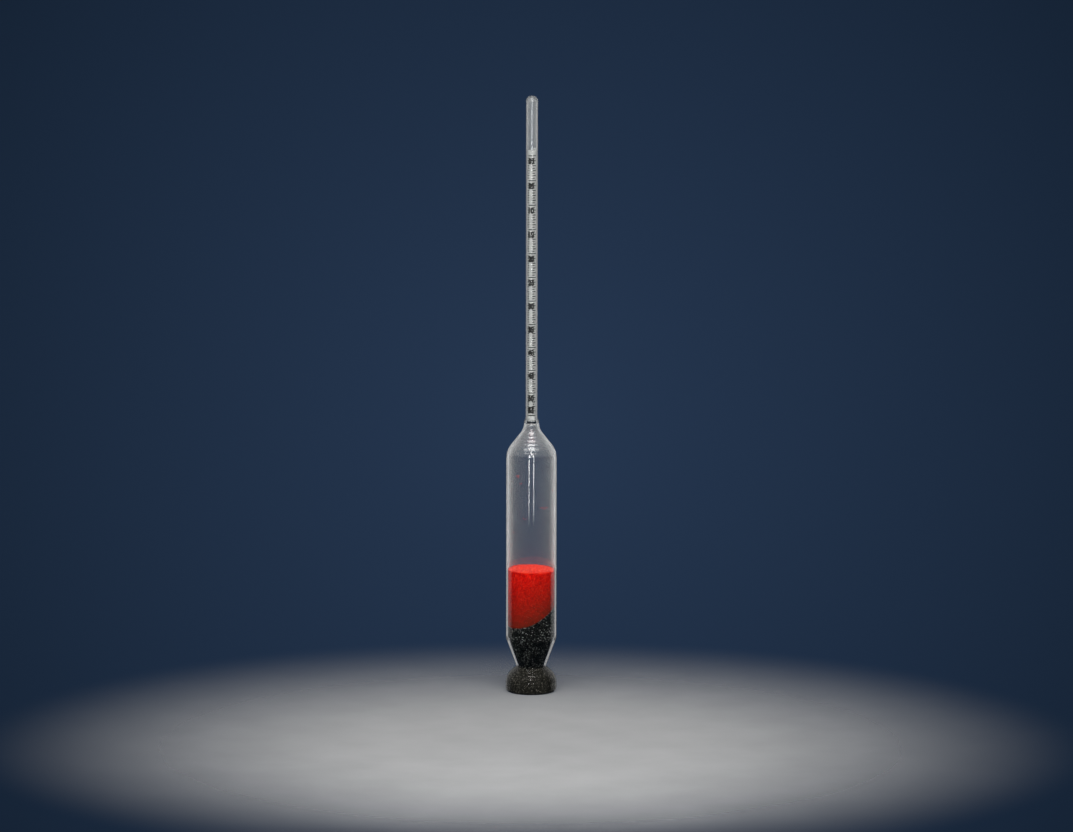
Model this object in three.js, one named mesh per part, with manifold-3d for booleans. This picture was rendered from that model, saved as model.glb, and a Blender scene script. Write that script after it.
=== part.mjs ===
// A glass hydrometer: a sealed float that stands higher in a denser liquid, read on a paper scale in its stem.
// Millimetres, +Z up along the float's axis, origin at the centre of the flat under its foot.
//
// The glass is two tubes fused at a seam: a thin stem with a closed tip, and a wide bulb body drawn in to a
// neck above a flat foot. Inside are black ballast grit, a plug of red wax that holds the grit down, a rolled
// paper scale and the dab of adhesive that keeps the paper from slipping.

import * as THREE from "three";
import { mergeVertices } from "three/addons/utils/BufferGeometryUtils.js";
import Module from "manifold-3d";

// Driving dimensions
const TOTAL_LENGTH = 260;
const BARREL_RADIUS = 10.95;
const STEM_RADIUS = 2.55;
const FOOT_RADIUS = 11.05;
const NECK_RADIUS = 6.3;

// Heights along the axis
const FOOT_DOME_Z = 7.2; // where the foot's side would meet its sloping top, before rounding
const NECK_Z = 11.15;
const CONE_TOP_Z = 23.5;
const SHOULDER_Z = 105.6; // where the barrel would meet the sloping shoulder, before rounding
const COLLAR_Z = 115.3; // where the shoulder would meet the collar, before rounding
const SEAM_Z = 117.6;
const STEM_START_Z = 119.8; // where the collar has narrowed to the stem
const BORE_TOP_Z = 259.2;

// Glass walls
const COLLAR_RADIUS = 3.25; // outside of both tubes at the seam
const FOOT_WALL = 0.6;
const NECK_WALL = 1;
const CONE_WALL = 0.85;
const BARREL_WALL = 0.7;
const STEM_WALL = 0.6;

// Roundings of the glass, outside
const FOOT_EDGE_ROUND = 2;
const FOOT_DOME_ROUND = 7.4;
const NECK_ROUND = 0.5;
const CONE_ROUND = 5;
const SHOULDER_ROUND = 10.7;
const COLLAR_ROUND = 6.2;
const STEM_FLARE_ROUND = 1.5;
const TIP_ROUND = 2.5;
const BORE_TIP_ROUND = 1.9;

// Filling: the grit lies on a slope that rises towards +X, and the wax above it set slightly out of level
const FILL_CLEARANCE = 0.08;
const GRIT_TOP_Z = 30.7; // on the axis
const GRIT_SLOPE = 0.44;
const GRIT_CURVE = 0.027; // per mm, so the slope steepens towards +X
const GRIT_TO_WAX = 0.3;
const WAX_TOP_Z = 53.9; // on the axis
const WAX_TILT_X = -0.021; // rise per mm towards +X
const WAX_TILT_Y = 0.018; // rise per mm towards +Y

// Scale: one strip rolled into a tube, its ends overlapping
const PAPER_RADIUS = 1.82;
const PAPER_THICKNESS = 0.12;
const PAPER_LAP_GAP = 0.02;
const PAPER_LAP = Math.PI / 5;
const PAPER_BOTTOM_Z = 118.8;
const PAPER_TOP_Z = 236.4;

// Adhesive: a dab on the bore wall, on the paper's top edge
const DAB_HEIGHT = 1.1;
const DAB_DEPTH = 0.55;
const DAB_SPREAD = Math.PI / 3;
const DAB_TURN = Math.PI / 5; // from -Y towards +X
const DAB_CLEARANCE = 0.05;

// Fineness
const GLASS_SIDES = 48;
const ARC_DIVISIONS = 2; // each rounding becomes twice this many flats
const PAPER_STEPS = 36;

const BORE_RADIUS = STEM_RADIUS - STEM_WALL;

const wasm = await Module();
wasm.setup();

const GLASS = { color: 0xc9d0d2, roughness: 0.05, metalness: 0, transparent: true, opacity: 0.35 };
const PAPER = { color: 0xe9e6dc, roughness: 0.8, metalness: 0 };
const ADHESIVE = { color: 0xdfe3e6, roughness: 0.35, metalness: 0 };
const GRIT = { color: 0x1c1b18, roughness: 0.7, metalness: 0 };
const WAX = { color: 0xb8150c, roughness: 0.75, metalness: 0 };

// A path through corners of the form [radius, z, rounding], with an arc in place of each rounded corner.
function roundedPath(corners) {
  const path = new THREE.Path();
  corners.forEach(([r, z, rounding = 0], i) => {
    const corner = new THREE.Vector2(r, z);
    if (i === 0) {
      path.moveTo(r, z);
      return;
    }
    if (!rounding) {
      path.lineTo(r, z);
      return;
    }
    const before = new THREE.Vector2(corners[i - 1][0], corners[i - 1][1]).sub(corner).normalize();
    const after = new THREE.Vector2(corners[i + 1][0], corners[i + 1][1]).sub(corner).normalize();
    const half = Math.acos(before.dot(after)) / 2;
    const centre = before.clone().add(after).normalize().multiplyScalar(rounding / Math.sin(half)).add(corner);
    const reach = rounding / Math.tan(half);
    const start = before.multiplyScalar(reach).add(corner).sub(centre);
    const end = after.clone().multiplyScalar(reach).add(corner).sub(centre);
    const clockwise = start.cross(end) < 0;
    path.lineTo(centre.x + start.x, centre.y + start.y);
    path.absarc(centre.x, centre.y, rounding, start.angle(), end.angle(), clockwise);
  });
  return path;
}

// The corners moved to the left of the way they run, each stretch by its own wall thickness.
function movedIn(corners, walls) {
  const points = corners.map(([r, z]) => new THREE.Vector2(r, z));
  const stretches = walls.map((wall, i) => {
    const along = points[i + 1].clone().sub(points[i]).normalize();
    const offset = new THREE.Vector2(-along.y, along.x).multiplyScalar(wall);
    return { along, start: points[i].clone().add(offset), end: points[i + 1].clone().add(offset) };
  });
  const meetings = stretches.slice(1).map((next, i) => {
    const { along, start } = stretches[i];
    const reach = next.start.clone().sub(start).cross(next.along) / along.cross(next.along);
    return along.clone().multiplyScalar(reach).add(start);
  });
  return [stretches[0].start, ...meetings, stretches.at(-1).end];
}

// A solid of revolution about +Z.
function turned(path) {
  return new THREE.LatheGeometry(path.getPoints(ARC_DIVISIONS), GLASS_SIDES).rotateX(Math.PI / 2);
}

function solidFrom(geometry) {
  const bare = geometry.clone();
  bare.deleteAttribute("normal");
  bare.deleteAttribute("uv");
  const merged = mergeVertices(bare, 1e-4);
  const vertProperties = merged.attributes.position.array;
  const index = merged.index.array;
  const kept = [];
  for (let i = 0; i < index.length; i += 3) {
    const [a, b, c] = index.slice(i, i + 3);
    const flattened = a === b || b === c || c === a;
    if (!flattened) {
      kept.push(a, b, c);
    }
  }
  const triVerts = new Uint32Array(kept);
  return new wasm.Manifold(new wasm.Mesh({ numProp: 3, vertProperties, triVerts }));
}

function geometryFrom(solid) {
  const { vertProperties, triVerts } = solid.getMesh();
  const geometry = new THREE.BufferGeometry();
  geometry.setAttribute("position", new THREE.BufferAttribute(vertProperties, 3));
  geometry.setIndex(new THREE.BufferAttribute(triVerts, 1));
  geometry.computeVertexNormals();
  return geometry;
}

function part(name, geometry, finish) {
  const mesh = new THREE.Mesh(geometry, new THREE.MeshStandardMaterial(finish));
  mesh.name = name;
  return mesh;
}

const bodyCorners = [
  [0, 0],
  [FOOT_RADIUS, 0, FOOT_EDGE_ROUND],
  [FOOT_RADIUS, FOOT_DOME_Z, FOOT_DOME_ROUND],
  [NECK_RADIUS, NECK_Z, NECK_ROUND],
  [BARREL_RADIUS, CONE_TOP_Z, CONE_ROUND],
  [BARREL_RADIUS, SHOULDER_Z, SHOULDER_ROUND],
  [COLLAR_RADIUS, COLLAR_Z, COLLAR_ROUND],
  [COLLAR_RADIUS, SEAM_Z],
];
const bodyWalls = [FOOT_WALL, FOOT_WALL, NECK_WALL, CONE_WALL, BARREL_WALL, BARREL_WALL, BARREL_WALL];

// The inside of the body, from the centre of the foot's floor up to the seam. A rounding that bulges out is
// tighter inside the wall, and one that dips in is wider.
function cavityCorners(clearance) {
  const walls = bodyWalls.map((wall) => wall + clearance);
  const roundings = [
    0,
    FOOT_EDGE_ROUND - FOOT_WALL,
    FOOT_DOME_ROUND - FOOT_WALL,
    NECK_ROUND + NECK_WALL,
    CONE_ROUND - CONE_WALL,
    SHOULDER_ROUND - BARREL_WALL,
    COLLAR_ROUND + BARREL_WALL,
    0,
  ];
  return movedIn(bodyCorners, walls).map(({ x, y }, i) => [x, y, roundings[i]]);
}

// Foot, neck, cone, barrel and shoulder in one piece of glass, open at the seam.
function bulbBody() {
  const outside = roundedPath(bodyCorners).getPoints(ARC_DIVISIONS);
  const inside = roundedPath(cavityCorners(0)).getPoints(ARC_DIVISIONS).reverse();
  return new THREE.LatheGeometry([...outside, ...inside], GLASS_SIDES).rotateX(Math.PI / 2);
}

// The stem, flared to the collar at the seam and closed in a round tip.
function stemTube() {
  const collarBore = COLLAR_RADIUS - BARREL_WALL;
  return turned(
    roundedPath([
      [0, BORE_TOP_Z],
      [BORE_RADIUS, BORE_TOP_Z, BORE_TIP_ROUND],
      [BORE_RADIUS, STEM_START_Z, STEM_FLARE_ROUND],
      [collarBore, SEAM_Z],
      [COLLAR_RADIUS, SEAM_Z],
      [COLLAR_RADIUS, SEAM_Z + 1, 1],
      [STEM_RADIUS, STEM_START_Z, STEM_FLARE_ROUND],
      [STEM_RADIUS, TOTAL_LENGTH, TIP_ROUND],
      [0, TOTAL_LENGTH],
    ]),
  );
}

// Everything inside the body's cavity up to a height well above the wax.
function cavityFill() {
  const corners = cavityCorners(FILL_CLEARANCE);
  const fillTop = SHOULDER_Z - SHOULDER_ROUND;
  const sides = corners.slice(0, 5);
  const barrelRadius = corners[5][0];
  return solidFrom(turned(roundedPath([...sides, [barrelRadius, fillTop], [0, fillTop]])));
}

const gritTop = (x) => GRIT_TOP_Z + GRIT_SLOPE * x + GRIT_CURVE * x * x;

// All the space under the grit's sloping surface, lifted by some height, across the whole float.
function underSlope(lift) {
  const reach = BARREL_RADIUS + 1;
  const steps = 12;
  const outline = new THREE.Shape();
  outline.moveTo(-reach, -1);
  outline.lineTo(reach, -1);
  for (let i = 0; i <= steps; i++) {
    const x = reach - (2 * reach * i) / steps;
    outline.lineTo(x, gritTop(x) + lift);
  }
  const block = new THREE.ExtrudeGeometry(outline, { depth: 2 * reach, bevelEnabled: false });
  return solidFrom(block.translate(0, 0, -reach).rotateX(Math.PI / 2));
}

// All the space under the wax's top, which is a slightly tilted plane.
function underWaxTop() {
  const side = 4 * BARREL_RADIUS;
  const block = new THREE.BoxGeometry(side, side, WAX_TOP_Z).translate(0, 0, -WAX_TOP_Z / 2);
  block.rotateY(-Math.atan(WAX_TILT_X)).rotateX(Math.atan(WAX_TILT_Y)).translate(0, 0, WAX_TOP_Z);
  return solidFrom(block);
}

// One strip of paper rolled a little more than once round, seen along the axis as a spiral band.
function scalePaper() {
  const turn = 2 * Math.PI + PAPER_LAP;
  const pitch = (PAPER_THICKNESS + PAPER_LAP_GAP) / (2 * Math.PI);
  const edge = (depth) =>
    Array.from({ length: PAPER_STEPS + 1 }, (_, i) => {
      const angle = (turn * i) / PAPER_STEPS;
      const radius = PAPER_RADIUS - pitch * (turn - angle) - depth;
      return new THREE.Vector2(radius * Math.sin(angle), radius * Math.cos(angle));
    });
  const band = new THREE.Shape([...edge(0), ...edge(PAPER_THICKNESS).reverse()]);
  const depth = PAPER_TOP_Z - PAPER_BOTTOM_Z;
  return new THREE.ExtrudeGeometry(band, { depth, bevelEnabled: false }).translate(0, 0, PAPER_BOTTOM_Z);
}

function scaleAdhesive() {
  const outer = BORE_RADIUS - DAB_CLEARANCE;
  const middle = DAB_TURN - Math.PI / 2;
  const from = middle - DAB_SPREAD / 2;
  const to = middle + DAB_SPREAD / 2;
  const sector = new THREE.Shape();
  sector.absarc(0, 0, outer, from, to, false);
  sector.absarc(0, 0, outer - DAB_DEPTH, to, from, true);
  const dab = new THREE.ExtrudeGeometry(sector, { depth: DAB_HEIGHT, bevelEnabled: false, curveSegments: 6 });
  return dab.translate(0, 0, PAPER_TOP_Z + DAB_CLEARANCE);
}

const fill = cavityFill();
const grit = fill.intersect(underSlope(0));
const wax = fill.intersect(underWaxTop()).subtract(underSlope(GRIT_TO_WAX));

const hydrometer = new THREE.Group();
hydrometer.add(
  part("bulb_body", bulbBody(), GLASS),
  part("stem_tube", stemTube(), GLASS),
  part("scale_paper", scalePaper(), PAPER),
  part("scale_adhesive", scaleAdhesive(), ADHESIVE),
  part("ballast_grit", geometryFrom(grit), GRIT),
  part("sealing_wax", geometryFrom(wax), WAX),
);

export default hydrometer;
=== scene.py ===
"""Looks for a glass hydrometer: clear glass, a printed paper scale, black grit and a plug of red wax.

Lengths are in millimetres and become metres as each mesh is made. +Z runs up the float's axis.
"""

import math

import bmesh
import bpy
import numpy as np
from mathutils import Matrix, Quaternion, Vector


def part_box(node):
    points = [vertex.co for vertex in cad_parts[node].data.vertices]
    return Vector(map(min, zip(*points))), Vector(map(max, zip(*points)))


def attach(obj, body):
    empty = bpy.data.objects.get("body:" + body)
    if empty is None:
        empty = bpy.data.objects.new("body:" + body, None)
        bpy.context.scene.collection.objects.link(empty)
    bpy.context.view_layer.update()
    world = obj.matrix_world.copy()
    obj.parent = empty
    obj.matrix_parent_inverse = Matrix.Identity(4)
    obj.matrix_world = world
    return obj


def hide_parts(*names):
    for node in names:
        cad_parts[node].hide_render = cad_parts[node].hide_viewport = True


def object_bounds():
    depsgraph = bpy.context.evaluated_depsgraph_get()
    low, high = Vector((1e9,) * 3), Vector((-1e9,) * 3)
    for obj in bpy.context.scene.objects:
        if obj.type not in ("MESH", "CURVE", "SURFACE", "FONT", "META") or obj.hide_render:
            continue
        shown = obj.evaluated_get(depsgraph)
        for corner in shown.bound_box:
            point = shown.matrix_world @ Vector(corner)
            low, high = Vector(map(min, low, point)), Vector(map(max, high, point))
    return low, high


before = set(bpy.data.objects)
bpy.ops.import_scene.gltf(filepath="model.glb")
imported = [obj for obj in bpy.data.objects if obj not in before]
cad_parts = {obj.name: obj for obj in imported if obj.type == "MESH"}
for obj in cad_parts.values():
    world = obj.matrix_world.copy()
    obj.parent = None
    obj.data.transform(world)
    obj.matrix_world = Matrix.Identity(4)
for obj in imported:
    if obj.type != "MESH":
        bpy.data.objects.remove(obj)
cad_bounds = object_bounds()

MM = 0.001
BODY = "root"
SEED = 20

# ---------------------------------------------------------------- sizes


def box(node):
    """Lowest and highest corners of a CAD node, in millimetres."""
    return [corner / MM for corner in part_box(node)]


BULB_HIGH = box("bulb_body")[1]
STEM_HIGH = box("stem_tube")[1]
GRIT_HIGH = box("ballast_grit")[1]
WAX_LOW, WAX_HIGH = box("sealing_wax")
PAPER_LOW, PAPER_HIGH = box("scale_paper")
DAB_LOW, DAB_HIGH = box("scale_adhesive")

# The outside of the glass
BARREL_RADIUS = 10.95
COLLAR_RADIUS = STEM_HIGH.x
STEM_RADIUS = 2.55
FOOT_RADIUS = BULB_HIGH.x
NECK_RADIUS = 6.3
FOOT_DOME_Z = 7.2
NECK_Z = 11.15
CONE_TOP_Z = 23.5
SHOULDER_Z = 105.6
HAZE_Z = 104.8  # the glass of the shoulder is hazy from here up
COLLAR_Z = 115.3
SEAM_Z = BULB_HIGH.z
STEM_START_Z = 119.8
BORE_TOP_Z = 259.2
TIP_Z = STEM_HIGH.z

# Its walls
FOOT_WALL = 0.6
NECK_WALL = 1
CONE_WALL = 0.85
BARREL_WALL = 0.7
STEM_WALL = 0.6
BORE_RADIUS = STEM_RADIUS - STEM_WALL

# Its roundings, outside
FOOT_EDGE_ROUND = 2
FOOT_DOME_ROUND = 7.4
NECK_ROUND = 0.5
CONE_ROUND = 5
SHOULDER_ROUND = 10.7
COLLAR_ROUND = 6.2
STEM_FLARE_ROUND = 1.5
TIP_ROUND = 2.5
BORE_TIP_ROUND = 1.9
SEAM_ROUND = 0.6
SEAM_GAP = 0.01

# The filling: grit on a curved slope, and wax above it with a slightly tilted top
GRIT_TOP_Z = 30.7
GRIT_SLOPE = 0.44
GRIT_CURVE = 0.027
WAX_TOP_Z = 53.9
WAX_TILT_X = -0.021
WAX_TILT_Y = 0.018
FILL_GAP = 0.04
BOND_DEPTH = 0.32  # how far the bonded grit of the foot reaches into the inner skin of the glass
GRIT_GRAIN = 0.3  # radius
WAX_GRAIN = 0.32
GRAIN_STEP = 1.72  # from one grain to the next, in radii
ROW_STEP = 0.87  # from one row of grains to the next, in those steps
GRAIN_JITTER = 0.25  # either way, in those steps
GRAIN_SIZES = (0.8, 1.22)  # smallest and largest, in radii
GRIT_SUNK = 0.5  # how far the centre of a grain at the wall stays under the surface, in radii
WAX_SUNK = 0.6
CORE_RINGS = 6  # across the bottom or the top of a core
WAX_CORE_ROWS = 24
WAX_LIFT = 0.02  # from the grit's surface to the core of the wax
OVERRUN = 1  # how far the rows of grains at the wall run past their filling before they are trimmed
GLOW_DUST_COUNT = 650

# The scale: a strip rolled a little more than once round
PAPER_RADIUS = 1.82
PAPER_THICKNESS = 0.12
PAPER_LAP_GAP = 0.02
PAPER_LAP = math.pi / 5
INK_LIFT = 0.006
INK_THICKNESS = 0.018

# Graduation: the float sinks until it displaces its own mass, so the marks crowd together going down
ZERO_MARK_Z = 234.2
SUNK_LENGTH = 2165  # the volume under the zero mark, as a length of stem
MARK_STEP = 0.0005
MARKS_PER_FIGURE = 10
FIGURE_STEP = 5  # thousandths
LAST_FIGURE = 55
FIGURE_DROP = 2.3  # from a mark down to the middle of its figure
FIGURE_ACROSS = -0.3
FIGURE_WIDTH = 2.6
FIGURE_HEIGHT = 2.9

# Printed lines: left end, right end and thickness, measured round the roll from the middle of its front
FIGURE_LINES = [(-1.6, 2.2, 0.4)]
LONG_LINES = [(0.25, 1.9, 0.48), (-2.4, -1.15, 0.42)]
SHORT_LINES = [(0.25, 1.3, 0.46), (-1.9, -1.15, 0.4)]
BORDERS = [(-2.75, -2.65), (2.45, 2.55)]

MIDDLE_Z = 0.1  # metres: where the lamps above the float point
ROUND_SIDES = 128
ARC_STEP = math.radians(4)
SMOOTH_ANGLE = math.radians(40)


# ---------------------------------------------------------------- outlines


def rounded(corners):
    """Points along an outline through corners (r, z, rounding), with an arc at each rounded corner."""
    points = []
    for i, (r, z, *rest) in enumerate(corners):
        corner = Vector((r, z))
        if not rest or not rest[0]:
            points.append(corner)
            continue
        rounding = rest[0]
        before = (Vector(corners[i - 1][:2]) - corner).normalized()
        after = (Vector(corners[i + 1][:2]) - corner).normalized()
        half = math.acos(before.dot(after)) / 2
        centre = corner + (before + after).normalized() * rounding / math.sin(half)
        reach = rounding / math.tan(half)
        start = corner + before * reach - centre
        end = corner + after * reach - centre
        sweep = math.atan2(start.x * end.y - start.y * end.x, start.dot(end))
        steps = math.ceil(abs(sweep) / ARC_STEP)
        for step in range(steps + 1):
            points.append(centre + Matrix.Rotation(sweep * step / steps, 2) @ start)
    return points


def moved_in(corners, walls):
    """The same corners, with each stretch between them moved to its left by its wall."""
    stretches = []
    for start, end, wall in zip(corners, corners[1:], walls):
        along = (Vector(end[:2]) - Vector(start[:2])).normalized()
        offset = Vector((-along.y, along.x)) * wall
        stretches.append((Vector(start[:2]) + offset, Vector(end[:2]) + offset, along))
    moved = [stretches[0][0]]
    for (start, _, along), (next_start, _, next_along) in zip(stretches, stretches[1:]):
        gap = next_start - start
        crossing = along.x * next_along.y - along.y * next_along.x
        moved.append(start + along * (gap.x * next_along.y - gap.y * next_along.x) / crossing)
    moved.append(stretches[-1][1])
    return moved


BULB_CORNERS = [
    (0, 0),
    (FOOT_RADIUS, 0, FOOT_EDGE_ROUND),
    (FOOT_RADIUS, FOOT_DOME_Z, FOOT_DOME_ROUND),
    (NECK_RADIUS, NECK_Z, NECK_ROUND),
    (BARREL_RADIUS, CONE_TOP_Z, CONE_ROUND),
    (BARREL_RADIUS, SHOULDER_Z, SHOULDER_ROUND),
    (COLLAR_RADIUS, COLLAR_Z, COLLAR_ROUND),
    (COLLAR_RADIUS, SEAM_Z - SEAM_GAP, SEAM_ROUND),
]
BULB_WALLS = [FOOT_WALL, FOOT_WALL, NECK_WALL, CONE_WALL, BARREL_WALL, BARREL_WALL, BARREL_WALL]


def cavity(clearance):
    """Corners of the body's cavity, from the centre of its floor up to the seam, moved in by a clearance."""
    roundings = [
        0,
        FOOT_EDGE_ROUND - FOOT_WALL,
        FOOT_DOME_ROUND - FOOT_WALL,
        NECK_ROUND + NECK_WALL,
        CONE_ROUND - CONE_WALL,
        SHOULDER_ROUND - BARREL_WALL,
        COLLAR_ROUND + BARREL_WALL,
        0,
    ]
    corners = moved_in(BULB_CORNERS, [wall + clearance for wall in BULB_WALLS])
    return [(point.x, point.y, rounding) for point, rounding in zip(corners, roundings)]


def grit_top(x):
    """Height of the grit's surface."""
    return GRIT_TOP_Z + GRIT_SLOPE * x + GRIT_CURVE * x * x


def wax_top(x, y):
    """Height of the top of the wax."""
    return WAX_TOP_Z + WAX_TILT_X * x + WAX_TILT_Y * y


# ---------------------------------------------------------------- meshes


def piece(name, vertices, faces, replaced, materials, smooth_angle=None):
    """A mesh object made from millimetre points, riding on the float in place of CAD nodes."""
    mesh = bpy.data.meshes.new(name)
    mesh.from_pydata([Vector(v) * MM for v in vertices], [], faces)
    outward = bmesh.new()
    outward.from_mesh(mesh)
    bmesh.ops.recalc_face_normals(outward, faces=outward.faces)
    outward.to_mesh(mesh)
    outward.free()
    if smooth_angle is not None:
        mesh.shade_smooth()
        mesh.set_sharp_from_angle(angle=smooth_angle)
    obj = bpy.data.objects.new(name, mesh)
    bpy.context.collection.objects.link(obj)
    for mat in materials:
        mesh.materials.append(mat)
    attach(obj, BODY)
    if replaced:
        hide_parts(*replaced)
    return obj


def stitched(first, rings, last):
    """Vertices and faces of a closed skin: a fan from a point, bands between rings, and a fan to a point."""
    sides = len(rings[0])
    vertices = [first] + [point for ring in rings for point in ring] + [last]
    end = len(vertices) - 1
    faces = []
    for side in range(sides):
        after = (side + 1) % sides
        faces.append((0, 1 + after, 1 + side))
        top = 1 + (len(rings) - 1) * sides
        faces.append((end, top + side, top + after))
        for row in range(len(rings) - 1):
            low = 1 + row * sides
            high = low + sides
            faces.append((low + side, low + after, high + after, high + side))
    return vertices, faces


def turned(outline, sides=ROUND_SIDES):
    """A skin of revolution from an outline that starts and ends on the axis."""
    rings = []
    for r, z in outline[1:-1]:
        angles = [2 * math.pi * side / sides for side in range(sides)]
        rings.append([(r * math.cos(a), r * math.sin(a), z) for a in angles])
    return stitched((0, 0, outline[0][1]), rings, (0, 0, outline[-1][1]))


# ---------------------------------------------------------------- materials


class Nodes:
    """A material's node tree, with short calls to add and join nodes."""

    def __init__(self, name):
        self.material = bpy.data.materials.new(name)
        self.material.use_nodes = True
        self.tree = self.material.node_tree
        self.shader = self.tree.nodes["Principled BSDF"]
        self.output = self.tree.nodes["Material Output"]

    def add(self, kind, **settings):
        """A new node, with each setting put in its input of that name or in its property."""
        node = self.tree.nodes.new("ShaderNode" + kind)
        for key, value in settings.items():
            if key in node.inputs:
                node.inputs[key].default_value = value
            else:
                setattr(node, key, value)
        return node

    def join(self, start, end):
        self.tree.links.new(start, end)

    def places(self):
        """The piece's own coordinates, in metres."""
        return self.add("TexCoord").outputs["Object"]

    def axes(self):
        node = self.add("SeparateXYZ")
        self.join(self.places(), node.inputs[0])
        return node.outputs

    def noise(self, scale, detail=2.0):
        node = self.add("TexNoise", Scale=scale, Detail=detail)
        self.join(self.places(), node.inputs["Vector"])
        return node.outputs["Fac"]

    def ramp(self, value, *stops):
        node = self.add("ValToRGB")
        elements = node.color_ramp.elements
        while len(elements) < len(stops):
            elements.new(0.5)
        for element, (position, colour) in zip(elements, stops):
            element.position = position
            element.color = (*colour, 1)
        self.join(value, node.inputs["Fac"])
        return node.outputs["Color"]

    def spread(self, value, low, high, start=0.0, end=1.0):
        """A value that runs from start to end, stretched to run from low to high."""
        node = self.add("MapRange")
        for key, limit in (("From Min", start), ("From Max", end), ("To Min", low), ("To Max", high)):
            node.inputs[key].default_value = limit
        self.join(value, node.inputs["Value"])
        return node.outputs["Result"]

    def maths(self, operation, first, second):
        node = self.add("Math", operation=operation)
        for socket, value in zip(node.inputs, (first, second)):
            if isinstance(value, (int, float)):
                socket.default_value = value
            else:
                self.join(value, socket)
        return node.outputs[0]

    def bump(self, height, strength, distance):
        node = self.add("Bump", Strength=strength, Distance=distance)
        self.join(height, node.inputs["Height"])
        self.join(node.outputs["Normal"], self.shader.inputs["Normal"])


def grey(value):
    return (value, value, value)


def glass(name, transmission=1.0, rough=(0.012, 0.04), film=0.0, gloss=1.0, rippled=False):
    """Clear drawn glass. Lamps shine through it, so that what is inside is lit.

    Less transmission makes it hazy, less gloss dims what it mirrors, and a film is a bloom of dust that
    shows where the wall turns away. Ripples run round the axis, where the hot glass was drawn in.
    """
    nodes = Nodes(name)
    shader = nodes.shader
    nodes.join(nodes.ramp(nodes.noise(60), (0.3, (0.93, 0.95, 0.95)), (0.7, (0.98, 0.985, 0.98))),
               shader.inputs["Base Color"])
    nodes.join(nodes.spread(nodes.noise(180), *rough), shader.inputs["Roughness"])
    shader.inputs["IOR"].default_value = 1.5
    shader.inputs["Transmission Weight"].default_value = transmission
    shader.inputs["Sheen Weight"].default_value = film
    shader.inputs["Sheen Roughness"].default_value = 0.5
    shader.inputs["Specular Tint"].default_value = (*grey(gloss), 1)
    if rippled:
        wave = nodes.add("TexWave", bands_direction="Z", Scale=225, Distortion=1.5, Detail=1)
        nodes.join(nodes.places(), wave.inputs["Vector"])
        nodes.bump(wave.outputs["Fac"], 1, 0.00003)
    else:
        nodes.bump(nodes.noise(45, 1), 0.03, 0.0004)
    clear = nodes.add("BsdfTransparent", Color=(0.96, 0.97, 0.97, 1))
    path = nodes.add("LightPath")
    mix = nodes.add("MixShader")
    nodes.join(path.outputs["Is Shadow Ray"], mix.inputs[0])
    nodes.join(shader.outputs[0], mix.inputs[1])
    nodes.join(clear.outputs[0], mix.inputs[2])
    nodes.join(mix.outputs[0], nodes.output.inputs["Surface"])
    return nodes.material


def paper():
    nodes = Nodes("scale_paper_stock")
    tint = nodes.ramp(nodes.noise(900, 4), (0.3, (0.35, 0.345, 0.335)), (0.7, (0.47, 0.465, 0.455)))
    nodes.join(tint, nodes.shader.inputs["Base Color"])
    nodes.join(nodes.spread(nodes.noise(2500), 0.7, 0.95), nodes.shader.inputs["Roughness"])
    nodes.bump(nodes.noise(6000, 3), 0.3, 0.00002)
    return nodes.material


def ink():
    nodes = Nodes("scale_ink")
    tint = nodes.ramp(nodes.noise(5000, 2), (0.35, grey(0.002)), (0.75, grey(0.008)))
    nodes.join(tint, nodes.shader.inputs["Base Color"])
    nodes.join(nodes.spread(nodes.noise(7000), 0.45, 0.7), nodes.shader.inputs["Roughness"])
    return nodes.material


def adhesive():
    nodes = Nodes("milky_adhesive")
    tint = nodes.ramp(nodes.noise(1500), (0.3, (0.28, 0.28, 0.27)), (0.7, (0.4, 0.4, 0.39)))
    nodes.join(tint, nodes.shader.inputs["Base Color"])
    nodes.join(nodes.spread(nodes.noise(3000), 0.45, 0.7), nodes.shader.inputs["Roughness"])
    nodes.bump(nodes.noise(2500), 0.4, 0.00005)
    return nodes.material


def darker_towards_grit(nodes, tint):
    """A red tint, darker and browner towards the grit, in uneven patches."""
    brownest, reddest = 0.031, 0.052
    axes = nodes.axes()
    slope = nodes.maths("MULTIPLY", axes["X"], GRIT_SLOPE)
    height = nodes.maths("SUBTRACT", axes["Z"], slope)
    fade = nodes.spread(height, 0.95, 0, brownest, reddest)
    share = nodes.maths("MULTIPLY", fade, nodes.spread(nodes.noise(900, 3), 0.7, 1.4))
    mix = nodes.add("MixRGB")
    nodes.join(share, mix.inputs["Fac"])
    nodes.join(tint, mix.inputs["Color1"])
    mix.inputs["Color2"].default_value = (0.13, 0.014, 0.006, 1)
    return mix.outputs["Color"]


def painted_light_from_above(nodes, tint):
    """A grit tint with painted light and shade: darker in the cone, whose grit faces down away from the light
    above, and paler in the barrel.
    """
    in_cone, in_barrel = 0.0215, 0.0255
    scaled = nodes.add("VectorMath", operation="SCALE")
    nodes.join(tint, scaled.inputs[0])
    # painted shade in the cone and painted light in the barrel: the tint is scaled from 0.75 to 1.7 going up
    nodes.join(nodes.spread(nodes.axes()["Z"], 0.75, 1.7, in_cone, in_barrel), scaled.inputs["Scale"])
    return scaled.outputs["Vector"]


def grains(name, stops, rough, lustre, recolour=None):
    """Loose grains, each with its own shade."""
    nodes = Nodes(name)
    island = nodes.add("NewGeometry").outputs["Random Per Island"]
    tint = nodes.ramp(island, *stops)
    nodes.join(recolour(nodes, tint) if recolour else tint, nodes.shader.inputs["Base Color"])
    nodes.join(nodes.spread(island, *rough), nodes.shader.inputs["Roughness"])
    nodes.shader.inputs["Specular IOR Level"].default_value = lustre
    nodes.bump(nodes.noise(5000, 3), 0.5, 0.00003)
    return nodes.material


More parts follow.
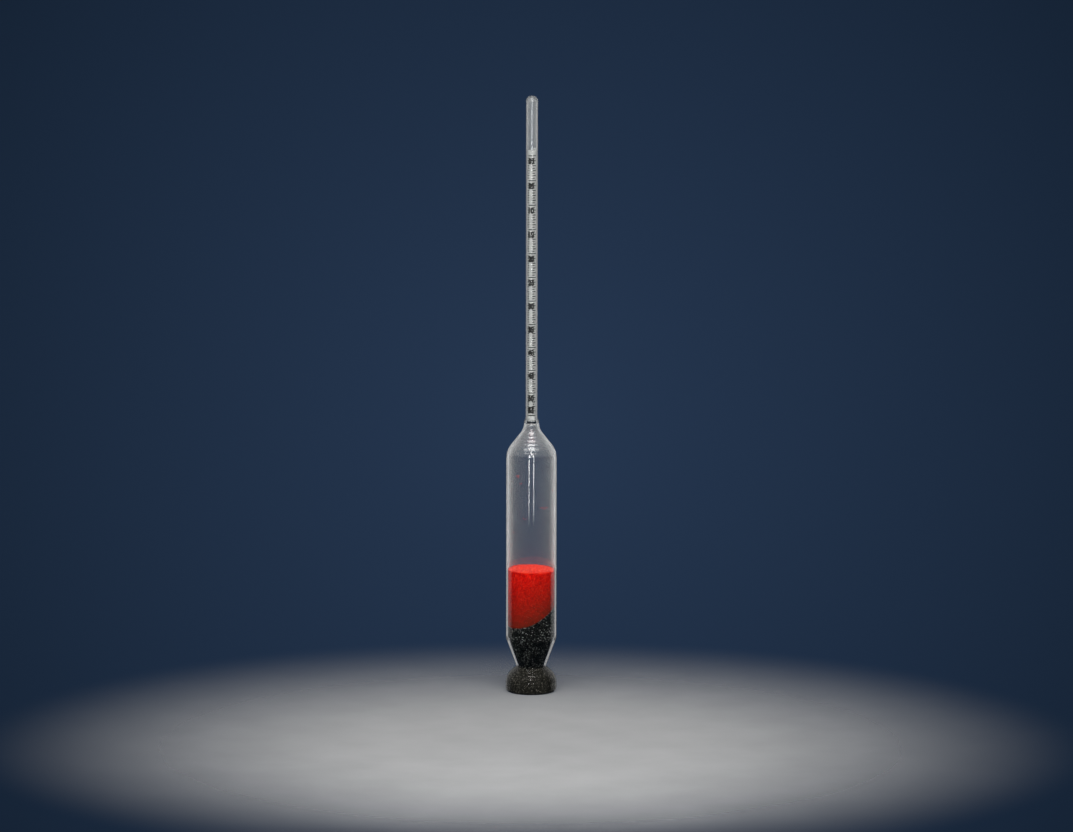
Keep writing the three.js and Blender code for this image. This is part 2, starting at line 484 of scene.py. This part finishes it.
def packed(name, low, high, recolour=None):
    """The mass of grains seen in the gaps between those at the front."""
    nodes = Nodes(name)
    tint = nodes.ramp(nodes.noise(2200, 3), (0.35, low), (0.65, high))
    nodes.join(recolour(nodes, tint) if recolour else tint, nodes.shader.inputs["Base Color"])
    nodes.shader.inputs["Roughness"].default_value = 0.9
    nodes.shader.inputs["Specular IOR Level"].default_value = 0.05
    nodes.bump(nodes.noise(2600, 2), 0.9, 0.0002)
    return nodes.material


# ---------------------------------------------------------------- glass


def facing_in(face):
    """True on the wall of a cavity round the axis."""
    return face.normal.x * face.center.x + face.normal.y * face.center.y < 0


def coat(obj, index, chosen):
    """Gives the chosen faces the material with this index."""
    for face in obj.data.polygons:
        if chosen(face):
            face.material_index = index


def in_bore(face):
    """True on the wall of the stem's bore and its closed end."""
    beside, above = 0.01, 0.1
    x, y, z = face.center / MM
    return math.hypot(x, y) < BORE_RADIUS + beside and z < BORE_TOP_Z + above


def bulb_body(materials):
    """Foot, neck, cone, barrel and shoulder, with the thickness of their wall."""
    inside = cavity(0)
    shoulder = 5
    # The bloom on the wall begins at the top of the wax
    inside.insert(shoulder, (BARREL_RADIUS - BARREL_WALL, WAX_TOP_Z))
    vertices, faces = turned(rounded(BULB_CORNERS + inside[::-1]))
    obj = piece("bulb_glass", vertices, faces, ["bulb_body"], materials, SMOOTH_ANGLE)
    coat(obj, 1, lambda face: facing_in(face) and face.center.z > WAX_TOP_Z * MM)
    coat(obj, 2, lambda face: face.center.z < NECK_Z * MM)
    coat(obj, 3, lambda face: face.center.z > HAZE_Z * MM)


def stem_tube(materials):
    """The stem, flared to the collar at the seam and closed in a round tip."""
    collar_bore = COLLAR_RADIUS - BARREL_WALL
    collar_rise = 1  # from the seam to the corner of the flare, which is rounded as much
    outline = rounded([
        (0, BORE_TOP_Z),
        (BORE_RADIUS, BORE_TOP_Z, BORE_TIP_ROUND),
        (BORE_RADIUS, PAPER_HIGH.z),
        (BORE_RADIUS, STEM_START_Z, STEM_FLARE_ROUND),
        (collar_bore, SEAM_Z + SEAM_GAP),
        (COLLAR_RADIUS, SEAM_Z + SEAM_GAP, SEAM_ROUND),
        (COLLAR_RADIUS, SEAM_Z + collar_rise, collar_rise),
        (STEM_RADIUS, STEM_START_Z, STEM_FLARE_ROUND),
        (STEM_RADIUS, TIP_Z, TIP_ROUND),
        (0, TIP_Z),
    ])
    vertices, faces = turned(outline, ROUND_SIDES // 2)
    obj = piece("stem_glass", vertices, faces, ["stem_tube"], materials, SMOOTH_ANGLE)
    coat(obj, 1, lambda face: face.center.z > PAPER_HIGH.z * MM and in_bore(face))
    coat(obj, 2, lambda face: face.center.z > (TIP_Z - TIP_ROUND) * MM and not in_bore(face))


# ---------------------------------------------------------------- scale


def roll_radius(angle):
    """Outer radius of the rolled strip, angle counted from its inner end at +Y and turning towards +X."""
    pitch = (PAPER_THICKNESS + PAPER_LAP_GAP) / (2 * math.pi)
    return PAPER_RADIUS - pitch * (2 * math.pi + PAPER_LAP - angle)


def on_roll(across, z, lift):
    """A point on the front of the roll, across being the arc length from its middle towards +X."""
    angle = math.pi - across / PAPER_RADIUS
    radius = roll_radius(angle) + lift
    return (radius * math.sin(angle), radius * math.cos(angle), z)


def scale_paper(material):
    """The strip, rolled into a tube with a lap."""
    steps = 150
    levels = 24
    turn = 2 * math.pi + PAPER_LAP
    vertices = []
    for level in range(levels + 1):
        z = PAPER_LOW.z + (PAPER_HIGH.z - PAPER_LOW.z) * level / levels
        for depth in (0, PAPER_THICKNESS):
            for step in range(steps + 1):
                angle = turn * step / steps
                radius = roll_radius(angle) - depth
                vertices.append((radius * math.sin(angle), radius * math.cos(angle), z))
    band = steps + 1
    row = 2 * band
    faces = []
    for level in range(levels):
        low = level * row
        high = low + row
        for step in range(steps):
            faces.append((low + step, low + step + 1, high + step + 1, high + step))
            inner = low + band + step
            faces.append((inner + 1, inner, inner + row, inner + row + 1))
        faces.append((low + band, low, high, high + band))
        last = low + steps
        faces.append((last, last + band, last + band + row, last + row))
    top = levels * row
    for step in range(steps):
        faces.append((step + 1, step, step + band, step + 1 + band))
        faces.append((top + step, top + step + 1, top + step + 1 + band, top + step + band))
    piece("scale_roll", vertices, faces, ["scale_paper"], [material], SMOOTH_ANGLE)


def mark_height(density):
    return ZERO_MARK_Z - SUNK_LENGTH * (1 - 1 / density)


def bar(left, right, z, width):
    """Vertices and faces of one printed line, wrapped round the roll."""
    longest_step = 0.2
    steps = max(2, math.ceil((right - left) / longest_step))
    vertices = []
    for step in range(steps + 1):
        across = left + (right - left) * step / steps
        for lift, side in ((0, -1), (0, 1), (INK_THICKNESS, 1), (INK_THICKNESS, -1)):
            vertices.append(on_roll(across, z + side * width / 2, INK_LIFT + lift))
    faces = [(0, 1, 2, 3)]
    for step in range(steps):
        low = 4 * step
        for side in range(4):
            after = (side + 1) % 4
            faces.append((low + side, low + 4 + side, low + 4 + after, low + after))
    faces.append(tuple(4 * steps + side for side in (3, 2, 1, 0)))
    return vertices, faces


def figure(text, middle, z, width, height):
    """Vertices and faces of a printed figure, fitted to a width and height and wrapped round the roll."""
    curve = bpy.data.curves.new("figure", "FONT")
    curve.body = text
    curve.extrude = 0.5
    curve.offset = 0.09  # bolder strokes
    curve.resolution_u = 3
    holder = bpy.data.objects.new("figure", curve)
    bpy.context.collection.objects.link(holder)
    shape = bpy.data.meshes.new_from_object(holder.evaluated_get(bpy.context.evaluated_depsgraph_get()))
    bpy.data.objects.remove(holder)
    cut = bmesh.new()
    cut.from_mesh(shape)
    bpy.data.meshes.remove(shape)
    low = Vector([min(v.co[i] for v in cut.verts) for i in range(2)])
    high = Vector([max(v.co[i] for v in cut.verts) for i in range(2)])
    for v in cut.verts:
        v.co.x = (v.co.x - low.x) / (high.x - low.x) * width - width / 2
        v.co.y = ((v.co.y - low.y) / (high.y - low.y) - 0.5) * height
    slices = 14
    for i in range(1, slices):
        at = Vector((width * (i / slices - 0.5), 0, 0))
        geometry = cut.verts[:] + cut.edges[:] + cut.faces[:]
        bmesh.ops.bisect_plane(cut, geom=geometry, plane_co=at, plane_no=(1, 0, 0))
    bmesh.ops.remove_doubles(cut, verts=cut.verts, dist=1e-5)
    vertices = []
    for v in cut.verts:
        lift = INK_LIFT + (INK_THICKNESS if v.co.z > 0 else 0)
        vertices.append(on_roll(middle + v.co.x, z + v.co.y, lift))
    cut.verts.index_update()
    faces = [tuple(v.index for v in face.verts) for face in cut.faces]
    cut.free()
    return vertices, faces


def gathered(parts):
    """One list of vertices and one of faces from many."""
    vertices, faces = [], []
    for part_vertices, part_faces in parts:
        start = len(vertices)
        vertices += part_vertices
        faces += [tuple(start + i for i in face) for face in part_faces]
    return vertices, faces


def scale_print(material):
    """The graduation: a fine line for each half thousandth, and a figure for each five thousandths."""
    parts = []
    count = LAST_FIGURE // FIGURE_STEP * MARKS_PER_FIGURE
    for mark in range(count + 1):
        z = mark_height(1 + mark * MARK_STEP)
        if mark % MARKS_PER_FIGURE == 0:
            lines = FIGURE_LINES
            text = f"{mark * FIGURE_STEP // MARKS_PER_FIGURE:02d}"
            drop = -FIGURE_DROP if mark == count else FIGURE_DROP
            parts.append(figure(text, FIGURE_ACROSS, z - drop, FIGURE_WIDTH, FIGURE_HEIGHT))
        else:
            lines = SHORT_LINES if mark % 2 else LONG_LINES
        parts += [bar(left, right, z, width) for left, right, width in lines]
    margin = 0.5  # between each end of a border and the paper's lower edge or the zero mark
    middle = (PAPER_LOW.z + ZERO_MARK_Z) / 2
    length = ZERO_MARK_Z - PAPER_LOW.z - 2 * margin
    parts += [bar(left, right, middle, length) for left, right in BORDERS]
    vertices, faces = gathered(parts)
    piece("scale_print", vertices, faces, [], [material])


def scale_adhesive(material):
    """A soft-edged dab on the wall of the bore, on the paper's top edge."""
    middle = (DAB_LOW + DAB_HIGH) / 2
    turn = math.atan2(middle.y, middle.x)
    half_turn = math.radians(30)
    half_height = (DAB_HIGH.z - DAB_LOW.z) / 2
    depth = 0.5
    gap = 0.04
    bluntness = 0.6  # 1 would make it round, and less makes its edge steeper
    outer = BORE_RADIUS - gap
    sides, rows = 36, 10
    rings = []
    for row in range(1, 2 * rows):
        tilt = math.pi * row / (2 * rows)
        ring = []
        for side in range(sides):
            a = 2 * math.pi * side / sides
            wobble = 1 + 0.08 * math.sin(3 * a + 1) + 0.05 * math.sin(5 * a)
            out = math.sin(tilt) ** bluntness
            angle = turn + half_turn * out * wobble * math.cos(a)
            z = middle.z + half_height * out * math.sin(a)
            inward = depth / 2 * (1 + math.cos(tilt))
            ring.append(((outer - inward) * math.cos(angle), (outer - inward) * math.sin(angle), z))
        rings.append(ring)
    inner = outer - depth
    first = (inner * math.cos(turn), inner * math.sin(turn), middle.z)
    last = (outer * math.cos(turn), outer * math.sin(turn), middle.z)
    vertices, faces = stitched(first, rings, last)
    piece("scale_dab", vertices, faces, ["scale_adhesive"], [material], math.radians(60))


# ---------------------------------------------------------------- filling


def grain_shape():
    """Vertices and faces of one twenty-sided grain of radius 1."""
    ball = bmesh.new()
    bmesh.ops.create_icosphere(ball, subdivisions=1, radius=1)
    vertices = np.array([v.co for v in ball.verts])
    faces = np.array([[v.index for v in face.verts] for face in ball.faces])
    ball.free()
    return vertices, faces


def scattered(centres, radii, rng):
    """Uneven grains at these centres, each turned and squashed its own way, as vertices and faces."""
    shape, faces = grain_shape()
    flattest, deepest_knock = 0.72, 0.84  # the least share of the radius left along an axis, and at a corner
    count = len(centres)
    turns = rng.normal(size=(count, 4))
    turns /= np.linalg.norm(turns, axis=1)[:, None]
    w, x, y, z = turns.T
    matrices = np.stack([
        1 - 2 * (y * y + z * z), 2 * (x * y - z * w), 2 * (x * z + y * w),
        2 * (x * y + z * w), 1 - 2 * (x * x + z * z), 2 * (y * z - x * w),
        2 * (x * z - y * w), 2 * (y * z + x * w), 1 - 2 * (x * x + y * y),
    ], axis=1).reshape(count, 3, 3)
    stretch = rng.uniform(flattest, 1.0, size=(count, 1, 3)) * radii[:, None, None]
    knocks = rng.uniform(deepest_knock, 1.0, size=(count, len(shape), 1))
    points = np.einsum("nij,nkj->nki", matrices, shape[None] * knocks * stretch) + centres[:, None]
    starts = np.arange(count)[:, None, None] * len(shape)
    return points.reshape(-1, 3), (faces[None] + starts).reshape(-1, 3)


def places_along(outline, step):
    """Places one step apart along an outline, as radius, height and the direction into the filling."""
    places = []
    carried = 0
    for start, end in zip(outline, outline[1:]):
        length = (end - start).length
        if length < 1e-9:
            continue
        direction = (end - start) / length
        while carried < length:
            point = start + direction * carried
            places.append((point, Vector((-direction.y, direction.x))))
            carried += step
        carried -= length
    return places


def wall_grains(outline, radius, keep, rng):
    """Centres and radii of grains lying against the wall, where keep(x, y, z, radius) allows them."""
    centres, radii = [], []
    spacing = radius * GRAIN_STEP
    shift = 0.2  # up or down, in radii
    for point, inward in places_along(outline, spacing * ROW_STEP):
        around = max(1, round(2 * math.pi * point.x / spacing))
        start = rng.uniform(0, 2 * math.pi)
        for i in range(around):
            size = radius * rng.uniform(*GRAIN_SIZES)
            angle = start + 2 * math.pi * (i + rng.uniform(-GRAIN_JITTER, GRAIN_JITTER)) / around
            r = point.x + inward.x * size
            z = point.y + inward.y * size + rng.uniform(-shift, shift) * radius
            x, y = r * math.cos(angle), r * math.sin(angle)
            if keep(x, y, z, size):
                centres.append((x, y, z))
                radii.append(size)
    return centres, radii


def disc_grains(reach, height, radius, rng):
    """Centres and radii of grains lying just under a surface z = height(x, y) inside a circle."""
    centres, radii = [], []
    spacing = radius * GRAIN_STEP
    shallowest, deepest = 0.3, 1.1  # in radii
    rows = math.ceil(reach / (spacing * ROW_STEP))
    for row in range(-rows, rows + 1):
        for column in range(-rows - 1, rows + 2):
            x = spacing * (column + 0.5 * (row % 2) + rng.uniform(-GRAIN_JITTER, GRAIN_JITTER))
            y = spacing * (ROW_STEP * row + rng.uniform(-GRAIN_JITTER, GRAIN_JITTER))
            size = radius * rng.uniform(*GRAIN_SIZES)
            sunk = rng.uniform(shallowest, deepest) * size
            if math.hypot(x, y) + size < reach:
                centres.append((x, y, height(x, y) - sunk))
                radii.append(size)
    return centres, radii


def circle(radius, height, sides=96):
    """A ring of points on a surface z = height(x, y)."""
    ring = []
    for side in range(sides):
        angle = 2 * math.pi * side / sides
        x, y = radius * math.cos(angle), radius * math.sin(angle)
        ring.append((x, y, height(x, y)))
    return ring


def filling(name, core, centres, radii, rng, replaced, materials):
    """One piece of a core and the grains around it, with two materials for each height: grains, then core."""
    core_vertices, core_faces = core
    points, faces = scattered(np.array(centres), np.array(radii), rng)
    vertices = list(core_vertices) + points.tolist()
    all_faces = list(core_faces) + (faces + len(core_vertices)).tolist()
    obj = piece(name, vertices, all_faces, [replaced], materials)
    for polygon in obj.data.polygons[: len(core_faces)]:
        polygon.material_index = 1
    return obj


def ballast_grit(materials):
    """Loose grit in the cone and barrel. In the foot a binder sticks it to the glass, with no air between.

    The waist is where the neck of the cavity is narrowest.
    """
    rng = np.random.default_rng(SEED)
    core_depth = GRIT_GRAIN * 1.1
    barrel = BARREL_RADIUS - BARREL_WALL
    neck = 3
    waist = cavity(0)[neck][1]
    waist_gap = 0.3  # from the waist to the nearest ring of the core
    cone_end = CONE_TOP_Z + 1.5

    def loose(x, y, z, size):
        return z > waist and z + size * GRIT_SUNK < grit_top(x)

    def bonded(x, y, z, size):
        return z <= waist

    def core_top(x, y):
        return grit_top(x) - core_depth

    outline = [point for point in rounded(cavity(FILL_GAP)) if point.y < GRIT_HIGH.z]
    outline.append(Vector((barrel - FILL_GAP, GRIT_HIGH.z + OVERRUN)))
    centres, radii = wall_grains(outline, GRIT_GRAIN, loose, rng)
    wetted = [point for point in rounded(cavity(-BOND_DEPTH)) if point.y < waist + OVERRUN]
    foot = wall_grains(wetted, GRIT_GRAIN, bonded, rng)
    top = disc_grains(barrel - FILL_GAP, lambda x, y: grit_top(x), GRIT_GRAIN, rng)
    centres += foot[0] + top[0]
    radii += foot[1] + top[1]

    inner = [point for point in rounded(cavity(-BOND_DEPTH / 3)) if point.y < waist - waist_gap]
    inner += [point for point in rounded(cavity(core_depth)) if waist + waist_gap < point.y < cone_end]
    rings = [circle(point.x, lambda x, y, z=point.y: z) for point in inner[1:]]
    reach = barrel - core_depth
    low = inner[-1].y
    for row in range(1, CORE_RINGS + 1):
        rings.append(circle(reach, lambda x, y, u=row / CORE_RINGS: low + u * (core_top(x, y) - low)))
    for row in range(CORE_RINGS - 1, 0, -1):
        rings.append(circle(reach * row / CORE_RINGS, core_top))
    core = stitched((0, 0, inner[0].y), rings, (0, 0, core_top(0, 0)))
    obj = filling("grit_fill", core, centres, radii, rng, "ballast_grit", materials)
    for polygon in obj.data.polygons:
        if polygon.center.z < waist * MM:
            polygon.material_index += 2


def sealing_wax(materials):
    """A plug of wax grains; those on its top are painted paler and pinker than the rest, as painted light
    from above.
    """
    rng = np.random.default_rng(SEED + 1)
    core_depth = WAX_GRAIN * 0.9
    barrel = BARREL_RADIUS - BARREL_WALL

    def keep(x, y, z, size):
        return grit_top(x) + size * WAX_SUNK < z < wax_top(x, y) - size * WAX_SUNK

    def core_bottom(x, y):
        return grit_top(x) + WAX_LIFT

    def core_top(x, y):
        return wax_top(x, y) - core_depth

    ends = WAX_LOW.z - OVERRUN, WAX_HIGH.z + OVERRUN
    outline = [Vector((barrel - FILL_GAP, z)) for z in ends]
    centres, radii = wall_grains(outline, WAX_GRAIN, keep, rng)
    top = disc_grains(barrel - FILL_GAP, wax_top, WAX_GRAIN, rng)
    centres += top[0]
    radii += top[1]

    reach = barrel - core_depth
    rings = [circle(reach * row / CORE_RINGS, core_bottom) for row in range(1, CORE_RINGS + 1)]
    for row in range(1, WAX_CORE_ROWS + 1):
        rings.append(circle(reach, lambda x, y, u=row / WAX_CORE_ROWS: (
            (1 - u) * core_bottom(x, y) + u * core_top(x, y))))
    rings += [circle(reach * row / CORE_RINGS, core_top) for row in range(CORE_RINGS - 1, 0, -1)]
    core = stitched((0, 0, core_bottom(0, 0)), rings, (0, 0, core_top(0, 0)))
    obj = filling("wax_fill", core, centres, radii, rng, "sealing_wax", materials)
    for polygon in obj.data.polygons:
        x, y, z = polygon.center / MM
        if z > core_top(x, y):
            # painted light: the top's grains get the paler, pinker material
            polygon.material_index = 2


def wax_specks(materials):
    """Crumbs of wax that stayed on the glass when the plug was poured, and pink wax dust just above it,
    partly real dust and partly a painted reflection of the wax's red glow on the hazy glass.
    """
    rng = np.random.default_rng(SEED + 2)
    streaks = [  # turn from -Y towards +X, reach to each side, height, count
        (-0.61, 0.12, 95.8, 12),
        (-0.48, 0.05, 92.6, 6),
        (0.5, 0.22, 82.2, 20),
        (1.9, 0.16, 88, 6),
        (3.4, 0.16, 74, 7),
        (-2.3, 0.16, 69, 5),
    ]
    crumb_sizes = (0.08, 0.17)
    height_spread = 0.25  # of the crumbs of a streak
    glow_dust_sizes = (0.04, 0.09)
    glow_dust_start, glow_dust_reach = 0.3, 2.2  # above the wax: where it begins, and how slowly it thins out
    gap = 0.01
    places = []
    for turn, reach, z, count in streaks:
        for i in range(count):
            angle = turn - math.pi / 2 + rng.uniform(-reach, reach)
            places.append((angle, z + rng.normal() * height_spread, rng.uniform(*crumb_sizes)))
    crumbs = len(places)
    # the pink dust thins upwards from the wax: partly real dust, partly a painted red glow on the hazy glass
    for i in range(GLOW_DUST_COUNT):
        height = WAX_TOP_Z + glow_dust_start + rng.exponential(glow_dust_reach)
        places.append((rng.uniform(0, 2 * math.pi), height, rng.uniform(*glow_dust_sizes)))
    centres, radii = [], []
    for angle, z, size in places:
        r = BARREL_RADIUS - BARREL_WALL - size - gap
        centres.append((r * math.cos(angle), r * math.sin(angle), z))
        radii.append(size)
    points, faces = scattered(np.array(centres), np.array(radii), rng)
    obj = piece("wax_crumbs", points.tolist(), faces.tolist(), [], materials)
    first_glow_dust = crumbs * len(faces) // len(places)
    for polygon in obj.data.polygons[first_glow_dust:]:
        polygon.material_index = 1


# ---------------------------------------------------------------- build

clear_glass = glass("clear_glass")
bulb_body([
    clear_glass,
    glass("hazed_glass", transmission=0.993, film=0.92),
    glass("foot_glass", rough=(0.02, 0.07), gloss=0.4),
    glass("shoulder_glass", transmission=0.968, rough=(0.07, 0.11), film=0.6, rippled=True),
])
stem_tube([
    glass("stem_glass", gloss=0.25),
    glass("clouded_glass", transmission=0.9, rough=(0.08, 0.13)),
    glass("tip_glass", transmission=0.94, rough=(0.1, 0.16), film=0.3),
])
scale_paper(paper())
scale_print(ink())
scale_adhesive(adhesive())

grit_stops = [
    (0.0, (0.001, 0.001, 0.001)),
    (0.7, (0.0035, 0.0035, 0.003)),
    (0.85, (0.025, 0.025, 0.022)),
    (0.98, (0.19, 0.19, 0.18)),
]
foot_stops = [
    (0.0, (0.008, 0.0075, 0.006)),
    (0.4, (0.017, 0.016, 0.013)),
    (0.72, (0.048, 0.045, 0.037)),
    (0.97, (0.15, 0.14, 0.12)),
]
ballast_grit([
    # painted light and shade on the grit: darker in the cone, paler in the barrel
    grains("black_grains", grit_stops, (0.3, 0.7), 0.06, painted_light_from_above),
    packed("black_packing", (0.002, 0.002, 0.002), (0.008, 0.008, 0.007)),
    grains("bonded_grains", foot_stops, (0.5, 0.8), 0.12),
    packed("bonded_packing", (0.004, 0.004, 0.003), (0.014, 0.013, 0.01)),
])
wax_stops = [
    (0.0, (0.26, 0.001, 0.0005)),
    (0.5, (0.7, 0.003, 0.001)),
    (0.85, (0.97, 0.018, 0.004)),
    (0.97, (1.0, 0.055, 0.025)),
]
# painted light from above: the wax top's grains, paler and pinker than those of the side
painted_lit_top_stops = [
    (0.0, (0.45, 0.003, 0.001)),
    (0.5, (0.82, 0.016, 0.004)),
    (0.9, (0.94, 0.075, 0.025)),
]
red_grains = grains("red_grains", wax_stops, (0.45, 0.75), 0.04, darker_towards_grit)
sealing_wax([
    red_grains,
    packed("red_packing", (0.3, 0.003, 0.002), (0.6, 0.006, 0.003), darker_towards_grit),
    grains("top_grains_painted_lit", painted_lit_top_stops, (0.4, 0.7), 0.12),
])
# pink dust above the wax: partly wax dust, partly a painted reflection of the wax's red glow on the hazy wall
glow_dust_stops = [
    (0.2, (0.75, 0.2, 0.17)),
    (0.8, (0.85, 0.45, 0.42)),
]
wax_specks([red_grains, grains("wax_dust_and_red_glow", glow_dust_stops, (0.6, 0.9), 0.1)])


# ---------------------------------------------------------------- stage


def floor():
    """A plain pale floor that fades into the surroundings away from the float.

    Only the camera sees it, so that none of it is mirrored in the glass.
    """
    reach = 1.2
    solid, gone = 0.05, 0.24  # distances from the middle of the visible patch
    patch = (0, -0.12, 0)
    mesh = bpy.data.meshes.new("floor")
    mesh.from_pydata([(-reach, -reach, 0), (reach, -reach, 0), (reach, reach, 0), (-reach, reach, 0)],
                     [], [(0, 1, 2, 3)])
    obj = bpy.data.objects.new("floor", mesh)
    bpy.context.collection.objects.link(obj)
    obj.visible_diffuse = False
    obj.visible_glossy = False
    obj.visible_transmission = False
    nodes = Nodes("pale_floor")
    nodes.join(nodes.ramp(nodes.noise(40, 4), (0.3, grey(0.42)), (0.7, grey(0.46))),
               nodes.shader.inputs["Base Color"])
    nodes.shader.inputs["Roughness"].default_value = 0.9
    length = nodes.add("VectorMath", operation="DISTANCE")
    nodes.join(nodes.places(), length.inputs[0])
    length.inputs[1].default_value = patch
    fade = nodes.add("MapRange", interpolation_type="SMOOTHSTEP")
    fade.inputs["From Min"].default_value = solid
    fade.inputs["From Max"].default_value = gone
    nodes.join(length.outputs["Value"], fade.inputs["Value"])
    clear = nodes.add("BsdfTransparent")
    mix = nodes.add("MixShader")
    nodes.join(fade.outputs["Result"], mix.inputs[0])
    nodes.join(nodes.shader.outputs[0], mix.inputs[1])
    nodes.join(clear.outputs[0], mix.inputs[2])
    nodes.join(mix.outputs[0], nodes.output.inputs["Surface"])
    mesh.materials.append(nodes.material)


def lamp(name, place, target, width, height, brightness):
    """A soft box of a given size in metres, with its brightness as watts per square metre and steradian."""
    data = bpy.data.lights.new(name, "AREA")
    data.shape = "RECTANGLE"
    data.size = width
    data.size_y = height
    data.energy = brightness * math.pi * width * height
    obj = bpy.data.objects.new(name, data)
    bpy.context.collection.objects.link(obj)
    obj.location = place
    obj.rotation_euler = (Vector(target) - Vector(place)).to_track_quat("-Z", "Y").to_euler()
    obj.visible_camera = False
    return obj


def panel(name, bearing, away, width, low, high, brightness):
    """An upright soft box facing the float, its bearing in degrees from the camera towards +X."""
    turn = math.radians(bearing)
    middle = (low + high) / 2
    place = (away * math.sin(turn), -away * math.cos(turn), middle)
    return lamp(name, place, (0, 0, middle), width, high - low, brightness)


def raised(name, elevation, away, width, height, brightness):
    """A soft box in front of the float and above it, turned to its middle."""
    rise = math.radians(elevation)
    return lamp(name, (0, -away * math.cos(rise), MIDDLE_Z + away * math.sin(rise)),
                (0, 0, MIDDLE_Z), width, height, brightness)


def surroundings():
    """A dark blue backdrop, lighter behind the float."""
    spread = 7  # how fast the ramp runs outwards from the middle of the view
    world = bpy.data.worlds.new("surroundings")
    world.use_nodes = True
    tree = world.node_tree
    place = tree.nodes.new("ShaderNodeTexCoord").outputs["Camera"]
    flat = tree.nodes.new("ShaderNodeVectorMath")
    flat.operation = "MULTIPLY"
    flat.inputs[1].default_value = (spread, spread, 0)
    length = tree.nodes.new("ShaderNodeVectorMath")
    length.operation = "LENGTH"
    ramp = tree.nodes.new("ShaderNodeValToRGB")
    near, far = ramp.color_ramp.elements
    near.color = (0.0194, 0.0382, 0.080, 1)
    far.position = 0.75
    far.color = (0.003, 0.0075, 0.015, 1)
    tree.links.new(place, flat.inputs[0])
    tree.links.new(flat.outputs[0], length.inputs[0])
    tree.links.new(length.outputs["Value"], ramp.inputs["Fac"])
    tree.links.new(ramp.outputs["Color"], tree.nodes["Background"].inputs["Color"])
    bpy.context.scene.world = world


def studio():
    """A key light high in front, fill from both sides, strips for the bright lines, and dim walls behind."""
    raised("key", 56, 1, 1.2, 0.45, 4.2).visible_glossy = False
    raised("window", 36, 1, 0.16, 0.12, 11)
    raised("crescent", 60, 1, 0.5, 0.2, 5)
    for side in (-1, 1):
        fill = panel("fill", 70 * side, 0.8, 0.5, -0.2, 0.4, 1.6)
        fill.visible_glossy = False
        fill.visible_transmission = False
        for name, bearing, brightness in (("back_panel", 148, 0.36), ("side_panel", 117, 0.28 + 0.06 * side)):
            panel(name, bearing * side, 0.22, 0.115, -0.1, 0.27, brightness)
        for name, low, high, brightness in (
                ("strip", 0.038, 0.21, 9), ("strip_end", 0.033, 0.038, 5), ("strip_end", 0.028, 0.033, 2)):
            panel(name, 10.6 * side, 0.3, 0.015, low, high, brightness)
    panel("strip_top", 0, 0.295, 0.13, 0.2, 0.21, 8)


def camera():
    centre = (Vector(cad_bounds[0]) + Vector(cad_bounds[1])) / 2
    tilt = math.radians(9.5)
    lean = 0.0018
    away = 4
    frame_width = 0.4624
    aside, below = 0.00214, 0.0091
    data = bpy.data.cameras.new("camera")
    data.sensor_width = 36
    data.lens = data.sensor_width * away / frame_width
    data.clip_start = 0.01
    data.clip_end = 50
    obj = bpy.data.objects.new("camera", data)
    bpy.context.collection.objects.link(obj)
    back = Vector((0, -math.cos(tilt), math.sin(tilt)))
    up = Vector((0, math.sin(tilt), math.cos(tilt)))
    aim = centre + Vector((aside, 0, 0)) - up * below
    obj.location = aim + back * away
    obj.rotation_euler = (back.to_track_quat("Z", "Y") @ Quaternion((0, 0, 1), lean)).to_euler()
    bpy.context.scene.camera = obj


surroundings()
floor()
studio()
camera()
bpy.context.scene.view_settings.view_transform = "Standard"
